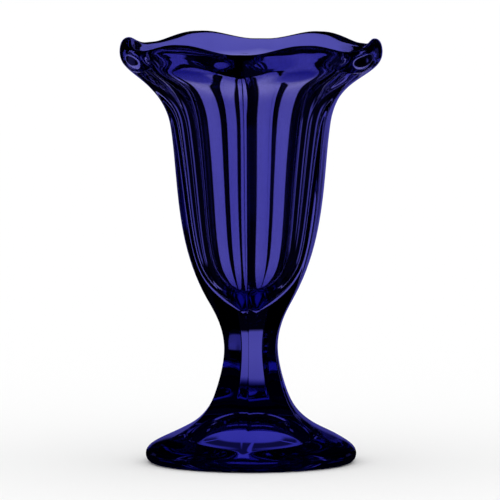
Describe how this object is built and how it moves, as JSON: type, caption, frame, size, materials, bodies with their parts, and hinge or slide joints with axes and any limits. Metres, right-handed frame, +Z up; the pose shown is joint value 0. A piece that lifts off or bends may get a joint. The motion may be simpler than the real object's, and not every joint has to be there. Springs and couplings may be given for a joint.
{
  "type": "sundae dish",
  "caption": "Footed glass sundae dish: a tall tulip bowl with flat panels and a petal-shaped rim, on a waisted panelled stem and a round hollow foot.",
  "frame": {"origin": "centre of the foot's resting ring, on the table", "axes": "+Z up along the dish's axis, +X through the middle of a panel and a petal, -Y through an arris and a dip"},
  "size_m": [0.1022, 0.0996, 0.165],
  "materials": {
    "cobalt_glass": "clear cobalt-blue glass, pressed and fire-polished"
  },
  "bodies": {
    "root": {"bowl": "cobalt_glass", "stem": "cobalt_glass", "foot": "cobalt_glass"}
  },
  "joints": []
}
